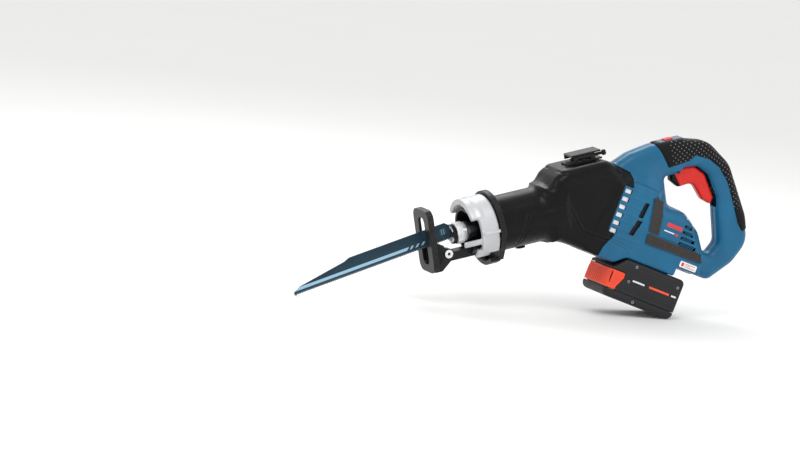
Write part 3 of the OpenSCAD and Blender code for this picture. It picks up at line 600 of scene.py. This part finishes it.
def hull_field(x, y, z):
    """Boot and body as one smooth outer form, with the handle loop flowing out of it."""
    n = x * SD + z * CD
    barrel = np.maximum(np.maximum(np.hypot(y, z) - BARREL_R, 8 - x), x - 104)
    block = extrude(poly_dist(x, z, BLOCK), y, BODY_HALF + 1 - smooth(x, 130, 180), 14)
    edge = 4 + 13 * smooth(n, 62, 104)
    body = extrude(poly_dist(x, z, BODY), y, BODY_HALF, edge)
    loop_flat = np.maximum(poly_dist(x, z, LOOP), -poly_dist(x, z, OPENING))
    flare = 11 * smooth(z, 44, 10) * smooth(x, 284, 236) * smooth(z, -60, -20)
    loop = extrude(loop_flat, y, LOOP_HALF + flare, 13)
    front = blend_min(barrel, block, 14)
    whole = blend_min(blend_min(front, body, 3), loop, 9)
    return np.maximum(whole, -poly_dist(x, z, OPENING) - 0.2)


def engrave(field, dist, width, depth):
    """Sinks a groove into the field where dist is small."""
    return field + depth * (1 - smooth(dist, width * 0.5, width * 0.5 + 0.9))


def housing_skin(x, y, z):
    """Outer form of the blue body, with its sunk panel, ribs and grooves."""
    field = np.maximum(hull_field(x, y, z), -poly_dist(x, z, FRONT) + SEAM)
    side = np.abs(y) > BODY_HALF - 8
    field = field + np.where(side, 0.7 * (1 - smooth(poly_dist(x, z, PANEL), -0.6, 0.5)), 0)
    for n0 in VENT_N:
        rib_n = n0 + VENT_PITCH / 2
        rib = line_dist(x, z, [mn(178, rib_n), mn(209 - 0.13 * (n0 - 60), rib_n)])
        field = field - np.where(side, 0.9 * (1 - smooth(rib, 0.4, 1.2)), 0)
    for points in CHIN_LINES + NECK_LINES:
        field = np.where(side, engrave(field, line_dist(x, z, points), 0.9, 1.1), field)
    for pad in PADS:
        rim = np.abs(poly_dist(x, z, pad) - 0.6)
        field = np.where(side, engrave(field, rim, 0.8, 1.2), field)
    return field


def housing_field(x, y, z, skin):
    """Hollow body with its windows, slots, trigger well and pack rail cut out."""
    n = x * SD + z * CD
    m = x * CD - z * SD
    shell = np.maximum(skin, -(skin + WALL))
    cut = np.full(skin.shape, FAR)
    outside = BODY_HALF - 6 - np.abs(y)
    for n0 in VENT_N:
        window = np.maximum(np.abs(m - WINDOW_M) - WINDOW_HALF[0], np.abs(n - n0) - WINDOW_HALF[1])
        cut = np.minimum(cut, np.maximum(window, outside))
    for slot in SLOTS:
        cut = np.minimum(cut, np.maximum(poly_dist(x, z, slot), outside))
    for m0, m1, n0 in REAR_SLOTS:
        window = np.maximum(span(m, m0, m1), np.abs(n - n0 - REAR_SLOT_HALF) - REAR_SLOT_HALF)
        cut = np.minimum(cut, np.maximum(window, outside))
    cut = np.minimum(cut, np.maximum(poly_dist(x, z, WELL), np.abs(y) - WELL_HALF))
    cut = np.minimum(cut, box_dist(x, y, z, *BEZEL_HOLE))
    for middle, half, wide in (RAIL_SLOT, STEM_SLOT):
        slot = np.maximum(span(m, *RAIL_M), np.abs(n - middle) - half)
        cut = np.minimum(cut, np.maximum(slot, np.abs(y) - wide))
    opened = np.maximum(shell, -cut)
    grip = np.maximum(poly_dist(x, z, GRIP_ZONE), -skin - GRIP_SINK)
    return np.maximum(opened, -(grip + SEAM))


def grip_field(x, y, z, skin):
    """Layer of rubber over the handle, thin at its edge, with room for the slide's bezel."""
    zone = poly_dist(x, z, GRIP_ZONE)
    crown = RUBBER * smooth(-zone, -0.2, 2.2) - SEAM
    field = np.maximum(np.maximum(skin - crown, -(skin + 1.1)), zone + 0.2)
    field = np.maximum(field, -poly_dist(x, z, OPENING) + 0.4)
    return np.maximum(field, -box_dist(x, y, z, *BEZEL_ROOM))


def split_half(field, y, side):
    """The part of a field on one side of the middle plane: -1 left and near, 1 right and far."""
    return np.maximum(field, -side * y + HALF_GAP)


def half_grid(side, xs, width, zs, h):
    """Grid from the middle plane out to width on one side."""
    ys = (0, width) if side > 0 else (-width, 0)
    return grid(*zip(xs, ys, zs), h)


SIDES = ((-1, "left"), (1, "right"))


def make_housing():
    for side, word in SIDES:
        axes = half_grid(side, (142, 398), 39, (-158, 66), FINE)
        field = split_half(housing_field(*axes, housing_skin(*axes)), axes[1], side)
        shell = surface(f"housing_shell_{word}", field, axes, TOOL)
        finish_piece(shell, "saw", "blue_plastic", replaces=[f"housing_{word}"])
        axes = half_grid(side, (262, 398), 41, (-96, 66), FINE * FINER)
        field = split_half(grip_field(*axes, housing_skin(*axes)), axes[1], side)
        grip = surface(f"grip_skin_{word}", field, axes, TOOL)
        finish_piece(grip, "saw", "black_rubber", replaces=[f"grip_{word}"])


def make_boot():
    axes = grid((6, -40, -76), (222, 40, 62), FINE)
    x, y, z = axes
    field = np.maximum(hull_field(x, y, z), poly_dist(x, z, FRONT) + SEAM)
    side = np.abs(y) > 14
    sunk = poly_dist(x, z, NOSE_LINES[0] + [(171, -90), (27, -90)])
    field = field + np.where(side, 0.6 * (1 - smooth(sunk, -5.5, -4.5)), 0)
    for points in NOSE_LINES:
        field = np.where(side, engrave(field, line_dist(x, z, points), 0.7, 1.0), field)
    lock_hole = np.maximum(np.hypot(x - 46, y) - 5.4, z + 30)
    field = np.maximum(np.maximum(field, -(field + WALL)), -lock_hole)
    mouth = np.maximum(np.hypot(y, z) - 33.5, x - 12)
    field = np.maximum(field, -mouth)
    boot = surface("boot_skin", field, axes, TOOL)
    finish_piece(boot, "saw", "black_rubber", "boot_rubber", replaces=["nose_boot"])


make_housing()
make_boot()


# ---- Release lever, trigger and pack --------------------------------------------------------

def sector(x, y, z, xs, radii, angles, edge):
    """Block bent round the barrel's axis, its edges rounded.

    Angles are in degrees, counted from the near side upward.
    """
    r = np.hypot(y, z)
    middle = (angles[0] + angles[1]) / 2
    turn = (np.degrees(np.arctan2(z, -y)) - middle + 180) % 360 - 180
    around = np.radians(np.abs(turn) - (angles[1] - angles[0]) / 2) * r
    return block_dist([span(x, *xs) + edge, span(r, *radii) + edge, around + edge], edge)


def make_lever():
    axes = grid((-54, -51, -46), (1, 41, 48), SMALL)
    x, y, z = axes
    field = sector(x, y, z, (-27, -0.6), (37, 46), (-42, 150), 2.6)
    field = blend_min(field, sector(x, y, z, (-38, -20), (37.6, 46), (30, 150), 2.6), 3)
    field = blend_min(field, sector(x, y, z, (-33, -12), (37, 43.5), (-56, -34), 2), 2)
    field = blend_min(field, sector(x, y, z, (-53, -20), (35.5, 40.5), (-22, -10), 1.6), 2)
    field = blend_min(field, sector(x, y, z, (-25, -0.6), (40, 49.6), (-1, 4.5), 1.2), 1.2)
    lever = surface("lever_body", field, axes, TOOL)
    finish_piece(lever, "lever", "lever_silver", replaces=["release_lever"])


TRIGGER = rounded([
    (286, 3, 3), (297, -9, 5), (320, -7, 12), (331, -34, 8), (343, -44, 3), (350, -36, 4),
    (341, 2, 14), (326, 17, 8), (300, 20, 4), (288, 15, 3)])


def make_trigger():
    axes = grid((284, -9, -46), (352, 9, 22), 0.7)
    x, y, z = axes
    field = extrude(poly_dist(x, z, TRIGGER), y, 8.4, 5.5)
    tip = -(x - 300 + 0.35 * (z + 9))          # the slanted plane between the red blade and the black front end, which is painted shade
    red = surface("trigger_blade", np.maximum(field, tip + SEAM), axes, TOOL)
    finish_piece(red, "trigger", "red_plastic", replaces=["trigger"])
    # The black front end is painted shade: the red trigger's front face in shadow, drawn as a
    # black piece.
    black = surface("trigger_painted_shade_tip", np.maximum(field + 0.3, -tip + SEAM), axes, TOOL)
    finish_piece(black, "trigger", "black_plastic")


PACK_M = (190.0, 308.0)
PACK_N = (-30.4, 29.6)
PACK_HALF = 38
PACK_SPLIT = -19.0        # where the cover meets the tray
PACK = rounded([
    (PACK_M[0], PACK_N[0], 9), (PACK_M[1], PACK_N[0], 9), (PACK_M[1], PACK_N[1], 7),
    (PACK_M[0] + 19, PACK_N[1], 5), (PACK_M[0] + 7, 17, 4), (PACK_M[0], 12, 5)])
PACK_FACE = rounded([(217, -14, 4), (303, -14, 4), (303, 22, 6), (232, 22, 6), (217, 6, 4)])
LATCH = rounded([
    (180, 9, 0), (212, 9, 2), (213, 2, 3), (206, -12, 4), (205, -17.8, 1), (180, -17.8, 0)])
LATCH_SKIN = 1.95
RIDGE_PITCH = 5.5
PACK_SCREWS = [(222, 0), (240, -25), (299, 17), (226, 23)]
CONTACT_Y = (-12, -4, 4, 12)


def pack_field(m, y, n):
    """Outer form of the pack in the motor frame, with its grooves and screw wells."""
    field = extrude(poly_dist(m, n, PACK), y, PACK_HALF, 6)
    side = np.abs(y) > 30
    field = np.where(side, engrave(field, np.abs(poly_dist(m, n, PACK_FACE)), 0.6, 0.7), field)
    for screw_m, screw_n in PACK_SCREWS:
        well = 1.2 * (1 - smooth(np.hypot(m - screw_m, n - screw_n), 2.6, 3.6))
        field = np.where(side, field + well, field)
    return engrave(field, np.abs(n - PACK_SPLIT) + 0 * y, 0.5, 0.7)


def make_pack():
    axes = grid((PACK_M[0], -PACK_HALF, PACK_N[0]), (PACK_M[1], PACK_HALF, 38), FINE * FINER)
    m, y, n = axes
    outer = pack_field(m, y, n)
    shell = np.maximum(outer, -(outer + WALL))
    zone = poly_dist(m, n, LATCH)
    rail = np.minimum(box_dist(m, y, n, (214, -20, 27), (285, 20, 35), 0.8),
                      box_dist(m, y, n, (214, -24, 33), (285, 24, 36.9), 0.8))
    upper = np.minimum(shell, rail)
    inside = box_dist(m, y, n, (194.6, -36, -30), (300, 36, 60))
    recess = np.maximum(np.maximum(zone - 0.5, -(outer + 2.1)), -inside)
    upper = np.maximum(np.maximum(upper, -recess), PACK_SPLIT + 0.1 - n)
    for y0 in CONTACT_Y:
        upper = np.maximum(upper, -box_dist(m, y, n, (217, y0 - 1, 33), (243, y0 + 1, 40)))
    cover = surface("pack_upper", upper, axes, MOTOR)
    finish_piece(cover, "pack", "pack_plastic", replaces=["pack_cover"])
    tray = surface("pack_lower", np.maximum(shell, n - PACK_SPLIT + 0.1), axes, MOTOR)
    finish_piece(tray, "pack", "pack_plastic", replaces=["pack_tray"])


def make_latch():
    """Ridged button round the front of the pack; its ridges fade out towards its edge."""
    axes = grid((189, -38.2, -19), (215, 38.2, 10), SMALL)
    m, y, n = axes
    outer = extrude(poly_dist(m, n, PACK), y, PACK_HALF, 6)
    zone = poly_dist(m, n, LATCH)
    along = np.where(np.abs(y) > 34, m + 0.15 * n, y + 0 * m)
    wave = np.cos(2 * np.pi * along / RIDGE_PITCH)
    ridges = 0.8 * smooth(wave, -0.3, 0.5)
    ridges = ridges * smooth(-zone, 1.2, 3.0)
    skin = outer - 0.1 + ridges
    latch = np.maximum(np.maximum(skin, -(outer + LATCH_SKIN)), zone + 0.1)
    latch = np.maximum(latch, -box_dist(m, y, n, (192.4, -36.05, -30), (260, 36.05, 60)))
    button = surface("latch_button", latch, axes, MOTOR)
    finish_piece(button, "latch", "orange_plastic", replaces=["pack_latch"])


# ---- Small pieces --------------------------------------------------------------------------

def blocks(name, place, boxes, bevel, body, slot, material=None, replaces=()):
    """One piece of bevelled blocks, each (centre, size, turn about y in degrees)."""
    mesh = bpy.data.meshes.new(name)
    work = bmesh.new()
    for centre, size, turn in boxes:
        matrix = Matrix.Translation(centre) @ Matrix.Rotation(math.radians(turn), 4, "Y")
        matrix = matrix @ Matrix.Diagonal((*size, 1))
        bmesh.ops.create_cube(work, size=1, matrix=matrix)
    bmesh.ops.bevel(work, geom=list(work.edges), offset=bevel, segments=2, affect="EDGES",
                    profile=0.6)
    work.to_mesh(mesh)
    work.free()
    mesh.transform(place)
    return finish_piece(new_object(name, mesh), body, slot, material, replaces)


def turned(name, place, profile, body, slot, material=None, replaces=(), sides=48, hollow=False):
    """Lathe work round the place matrix's z, from a profile of (distance along z, radius).

    A hollow piece's profile closes on itself; the others are capped at both ends.
    """
    mesh = bpy.data.meshes.new(name)
    angles = [2 * math.pi * k / sides for k in range(sides)]
    verts = [(r * math.cos(a), r * math.sin(a), t) for t, r in profile for a in angles]
    count = len(profile)
    last = (count - 1) * sides
    faces = []
    for i in range(count if hollow else count - 1):
        here = i * sides
        there = (i + 1) % count * sides
        faces += [(here + k, here + (k + 1) % sides, there + (k + 1) % sides, there + k)
                  for k in range(sides)]
    if not hollow:
        faces += [tuple(range(sides))[::-1], tuple(range(last, last + sides))]
    mesh.from_pydata(verts, [], faces)
    mesh.transform(place)
    mesh.shade_smooth()
    obj = new_object(name, mesh)
    edge = obj.modifiers.new("edge", "EDGE_SPLIT")
    edge.split_angle = math.radians(35)
    return finish_piece(obj, body, slot, material, replaces)


FIN_PITCH = 3.4
LABEL_LIFT = 0.33                      # from the body's side to the middle of the label's frame


def make_side_details():
    for side, word in SIDES:
        face = side * BODY_HALF
        label = side * (BODY_HALF + LABEL_LIFT)
        blocks(f"slot_baffle_{word}", MOTOR,
               [((201.5, side * 32.2, 88), (14, 1, 60), 0),
                ((280.5, side * 32.2, 89.5), (15, 1, 29), 0),
                ((293, side * 32.2, 78.5), (12, 1, 9), 0)],
               0.2, "saw", "black_plastic")
        blocks(f"window_backing_{word}", MOTOR,
               [((WINDOW_M, side * 33.4, n0), (10.2, 1.6, 6.2), 0) for n0 in VENT_N],
               0.2, "saw", "cast_aluminium")
        fins = []
        for m0, m1, n0 in REAR_SLOTS:
            first = m0 + 4
            count = int((m1 - first) / FIN_PITCH)
            fins += [((first + FIN_PITCH * i, side * 34.6, n0 + REAR_SLOT_HALF),
                      (1.0, 2.6, 6.4), 40) for i in range(count)]
        blocks(f"grille_fins_{word}", MOTOR, fins, 0.15, "saw", "blue_plastic")
        blocks(f"badge_bar_{word}", MOTOR,
               [((258.5, face, 95.5), (25, 0.5, 6.0), 0), ((266, face, 85.5), (5, 0.5, 3.2), 0)],
               0.15, "saw", "label", "print_red")
        blocks(f"badge_line_{word}", MOTOR, [((253, face, 86), (17, 0.5, 1.8), 0)],
               0.15, "saw", "label", "print_white")
        blocks(f"label_frame_{word}", MOTOR,
               [((292, label, 50.5), (4, 0.12, 5.5), 0),
                ((304.5, label, 52.6), (17, 0.12, 0.8), 0),
                ((304.5, label, 48.4), (17, 0.12, 0.8), 0),
                ((300.5, label, 50.5), (8, 0.12, 0.6), 0)],
               0.03, "saw", "label", "print_red")


def make_pack_details():
    for side, word in SIDES:
        outward = Matrix.Rotation(side * math.pi / -2, 4, "X")
        for i, (m, n) in enumerate(PACK_SCREWS):
            place = MOTOR @ Matrix.Translation((m, side * 35.4, n))
            turned(f"pack_screw_{word}_{i}", place @ outward,
                   [(0, 2.4), (1.2, 2.4), (1.5, 2.0), (1.5, 1.1), (0.6, 1.0), (0.6, 0.05)],
                   "pack", "bright_steel", "tool_steel", sides=24)
        blocks(f"pack_mark_{word}", MOTOR,
               [((272, side * PACK_HALF, 3), (34, 0.4, 3), 0)],
               0.12, "pack", "pack_plastic", "orange_plastic")
        blocks(f"pack_line_{word}", MOTOR,
               [((237, side * PACK_HALF, 3), (20, 0.4, 2.4), 0),
                ((297, side * PACK_HALF, 3), (8, 0.4, 2.4), 0)],
               0.12, "pack", "pack_plastic", "print_white")


def make_chuck():
    along_x = TOOL @ Matrix.Rotation(math.pi / 2, 4, "Y")
    turned("chuck_collar", along_x,
           [(-51, 11.9), (-51, 15), (-50.5, 15.5), (-46.6, 15.5), (-46.2, 14.8), (-45.4, 14.8),
            (-45, 15.5), (-40.6, 15.5), (-38.4, 13.8), (-37, 13.8), (-37, 11.9)],
           "chuck_turn", "chuck_white", replaces=["chuck_sleeve"], hollow=True)
    turned("chuck_cup", along_x,
           [(-56.6, 12), (-56.6, 13.4), (-56, 14), (-52.4, 14), (-51.2, 13.2), (-51.2, 12)],
           "chuck_turn", "black_metal", replaces=["chuck_ring"], hollow=True)
    axes = grid((-58, -14, -14), (-53, 14, 14), 0.5)
    upper, lower = (sector(*axes, (-57.4, -54), (9.6, 12.6), angles, 0.5)
                    for angles in ((28, 152), (-152, -28)))
    claws = np.minimum(upper, lower)
    finish_piece(surface("chuck_claws", claws, axes, TOOL), "chuck_turn", "chuck_white")
    socket = TOOL @ Matrix.Translation((-72, -20.75, -21)) @ Matrix.Rotation(math.pi / 2, 4, "X")
    turned("screw_socket", socket, [(0, 2.3), (0.4, 2.3), (0.4, 0.05)],
           "shoe", "black_metal", sides=6)


make_lever()
make_chuck()
make_trigger()
make_pack()
make_latch()
make_side_details()
make_pack_details()


# ---- CAD pieces: soft edges and materials --------------------------------------------------

EDGE_WIDTHS = {
    "shoe_plate": 1.2, "shoe_post": 0.8, "nose_flange": 1.8, "nose_sleeve": 0.5,
    "chuck_body": 0.3, "chuck_pin": 0.6, "hook_arm": 0.6, "hook_base": 0.5, "hook_rod": 0.4,
    "side_pad_left": 0.5, "side_pad_right": 0.5, "shoe_screw": 0.5, "shoe_lock": 0.5,
    "slide_button": 0.5, "slide_bezel": 0.4, "work_light": 0.4, "blade": 0.15}
BEVEL_ANGLE = math.radians(32)
SHARP_ANGLE = math.radians(28)
# Metal in the record, drawn black as painted shade: they show through gaps that are dark with
# shade.
SHADE_BLACKENED = ("trigger_pin", "trigger_spring", "gear_case")


def soften(node, width):
    bevel = node.modifiers.new("edge", "BEVEL")
    bevel.width = width * MM
    bevel.segments = 2
    bevel.limit_method = "ANGLE"
    bevel.angle_limit = BEVEL_ANGLE
    bevel.harden_normals = False


for spec in frame["record"]["subparts"]:
    name = spec["node"]
    node = frame["nodes"][name]
    # hidden metal seen through gaps takes black_metal as painted shade, not its own colour
    look = "black_metal" if name in SHADE_BLACKENED else spec["material_slot"]
    node.data.materials.clear()
    node.data.materials.append(materials[look])
    node.data.shade_smooth()
    node.data.set_sharp_from_angle(angle=SHARP_ANGLE)
    if name in EDGE_WIDTHS:
        soften(node, EDGE_WIDTHS[name])


# ---- Studio --------------------------------------------------------------------------------

WORLD_LIGHT = 0.9
FLOOR_SIZE = 40
FLOOR_Z = -0.0005         # just under the saw, so that the two don't flicker
LAMPS = [                 # name, place, size and power
    ("key", (-0.5, -1.0, 1.7), 0.9, 9), ("fill", (1.4, -1.2, 0.7), 1.2, 3),
    ("rim", (0.3, 1.2, 1.4), 1.0, 9), ("nose", (-1.5, -0.3, 0.8), 0.8, 3)]
LAMP_AIM = Vector((0.0, 0.0, 0.15))
AIM = TOOL @ Vector((-130, 0, 30))
AZIMUTH = math.radians(-24.8)
ELEVATION = math.radians(7.6)
ROLL = math.radians(6.9)
DISTANCE = 8.0
LENS = 259
SENSOR_WIDTH = 36
CLIP_END = 120


def make_world():
    world = bpy.data.worlds.new("studio")
    bpy.context.scene.world = world
    world.use_nodes = True
    background = world.node_tree.nodes["Background"]
    background.inputs["Color"].default_value = (1.0, 1.0, 1.0, 1)
    background.inputs["Strength"].default_value = WORLD_LIGHT
    bpy.context.scene.view_settings.view_transform = "Standard"


def make_floor():
    mesh = bpy.data.meshes.new("floor")
    work = bmesh.new()
    bmesh.ops.create_grid(work, x_segments=1, y_segments=1, size=FLOOR_SIZE)
    work.to_mesh(mesh)
    work.free()
    floor = new_object("floor", mesh)
    floor.location = (0, 0, FLOOR_Z)
    pale = Nodes("floor_pale", (0.90, 0.90, 0.89), 0.7)
    pale.put("Base Color", pale.mix(pale.noise(3, 2), (0.90, 0.90, 0.89), (0.92, 0.92, 0.91)))
    mesh.materials.append(pale.mat)


def make_lamps():
    for name, place, size, power in LAMPS:
        data = bpy.data.lights.new(name, "AREA")
        data.size = size
        data.energy = power
        lamp = new_object(name, data)
        lamp.location = place
        aim = LAMP_AIM - Vector(place)
        lamp.rotation_euler = aim.to_track_quat("-Z", "Y").to_euler()


def make_camera():
    back = Vector((math.sin(AZIMUTH) * math.cos(ELEVATION),
                   -math.cos(AZIMUTH) * math.cos(ELEVATION),
                   math.sin(ELEVATION)))
    data = bpy.data.cameras.new("camera")
    data.sensor_width = SENSOR_WIDTH
    data.lens = LENS
    data.clip_end = CLIP_END
    camera = new_object("camera", data)
    camera.location = AIM + back * DISTANCE
    turn = (-back).to_track_quat("-Z", "Y").to_matrix() @ Matrix.Rotation(ROLL, 3, "Z")
    camera.rotation_euler = turn.to_euler()
    bpy.context.scene.camera = camera


make_world()
make_floor()
make_lamps()
make_camera()
